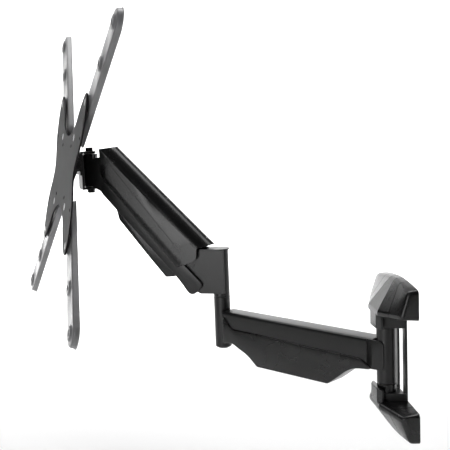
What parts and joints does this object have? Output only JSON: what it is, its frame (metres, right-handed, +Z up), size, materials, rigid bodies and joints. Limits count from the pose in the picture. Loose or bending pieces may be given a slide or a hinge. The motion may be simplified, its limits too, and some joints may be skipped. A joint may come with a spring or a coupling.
{
  "type": "full motion tv wall mount",
  "caption": "Wall bracket with a swivelling beam arm, a gas-sprung lifting arm and a tilting plate with extension arms that holds a flat screen.",
  "frame": {"origin": "middle of the wall bracket, on the wall", "axes": "+Z up, +Y into the wall, the room on the -Y side"},
  "size_m": [0.5722, 0.5039, 0.5476],
  "materials": {
    "black_powder_coat": "fine satin powder coat",
    "black_satin_coat": "satin powder coat on pressed steel",
    "grey_satin_coat": "satin coat on pressed steel, lighter than the plate",
    "black_plastic": "satin moulded plastic",
    "nylon": "natural nylon",
    "black_zinc_steel": "black plated fasteners",
    "gas_cylinder_paint": "gloss black",
    "polished_rod": "ground and chromed"
  },
  "bodies": {
    "wall_bracket": {"wall_plate": "black_powder_coat", "upper_ear": "black_powder_coat", "lower_ear": "black_powder_coat", "upper_cover": "black_plastic", "lower_cover": "black_plastic", "wall_pivot_bolt": "black_zinc_steel", "wall_pivot_nut": "black_zinc_steel", "wall_collar": "black_plastic"},
    "lower_arm": {"wall_tube": "black_powder_coat", "wall_bushes": "nylon", "arm_beam": "black_powder_coat", "arm_cable_cover": "black_plastic", "elbow_tube": "black_powder_coat", "elbow_shaft": "black_zinc_steel", "elbow_bottom_cap": "black_plastic"},
    "elbow": {"elbow_ring": "black_plastic", "elbow_bracket": "black_powder_coat", "elbow_bushes": "nylon", "elbow_top_plate": "black_powder_coat", "elbow_link_bolts": "black_zinc_steel", "elbow_link_washers": "nylon", "spring_anchor_bolt": "black_zinc_steel"},
    "upper_arm": {"upper_link": "black_powder_coat", "upper_casing": "black_plastic", "spring_cylinder": "gas_cylinder_paint", "spring_head_pin": "black_zinc_steel"},
    "gas_rod": {"spring_rod": "polished_rod"},
    "lower_rail": {"lower_link": "black_powder_coat", "link_cable_cover": "black_plastic"},
    "head_block": {"head_bracket": "black_powder_coat", "head_link_bolts": "black_zinc_steel", "head_link_washers": "nylon"},
    "yoke": {"swivel_yoke": "black_powder_coat", "swivel_bolt": "black_zinc_steel", "swivel_nut": "black_zinc_steel", "swivel_washers": "nylon", "level_bolt": "black_zinc_steel"},
    "tilt_hinge": {"tilt_base": "black_powder_coat", "tilt_bolt": "black_zinc_steel", "tilt_nut": "black_zinc_steel"},
    "screen_plate": {"tilt_brackets": "black_powder_coat", "vesa_plate": "black_satin_coat", "extension_arms": "grey_satin_coat", "extension_bolts": "black_zinc_steel", "extension_nuts": "black_zinc_steel"}
  },
  "joints": [
    {"name": "wall_swivel", "type": "hinge", "parent": "wall_bracket", "child": "lower_arm", "pos_m": [0, -0.021, 0], "axis": [0, 0, 1], "range_deg": [-34, 136]},
    {"name": "elbow_swivel", "type": "hinge", "parent": "lower_arm", "child": "elbow", "pos_m": [-0.22149, -0.20036, 0], "axis": [0, 0, -1], "range_deg": [-59.5, 120.5]},
    {"name": "arm_lift", "type": "hinge", "parent": "elbow", "child": "upper_arm", "pos_m": [-0.2355, -0.23782, 0.102], "axis": [-0.9367, 0.3502, 0], "range_deg": [-88.6, 1.4]},
    {"name": "rail_lift", "type": "hinge", "parent": "elbow", "child": "lower_rail", "pos_m": [-0.2355, -0.23782, 0.06], "axis": [-0.9367, 0.3502, 0], "range_deg": [-88.6, 1.4]},
    {"name": "head_level", "type": "hinge", "parent": "upper_arm", "child": "head_block", "pos_m": [-0.27928, -0.35494, 0.244], "axis": [-0.9367, 0.3502, 0], "range_deg": [-1.4, 88.6]},
    {"name": "gas_spring_stroke", "type": "slide", "parent": "upper_arm", "child": "gas_rod", "axis": [0.213, 0.5697, -0.7937], "range_m": [-0.01945, 0.00035]},
    {"name": "head_swivel", "type": "hinge", "parent": "head_block", "child": "yoke", "pos_m": [-0.28996, -0.3835, 0.23], "axis": [0, 0, 1], "range_deg": [-77.5, 12.5]},
    {"name": "level_turn", "type": "hinge", "parent": "yoke", "child": "tilt_hinge", "pos_m": [-0.28996, -0.3835, 0.241], "axis": [0.2079, -0.9781, 0], "range_deg": [-3, 3]},
    {"name": "screen_tilt", "type": "hinge", "parent": "tilt_hinge", "child": "screen_plate", "pos_m": [-0.28476, -0.40796, 0.24], "axis": [0.9781, 0.2079, 0], "range_deg": [-3.6, 26.4]}
  ],
  "couplings": [
    {"joint": "rail_lift", "follows": "arm_lift", "ratio": 1},
    {"joint": "head_level", "follows": "arm_lift", "ratio": -1},
    {"joint": "gas_spring_stroke", "follows": "arm_lift", "m_per_rad": 0.01255}
  ]
}
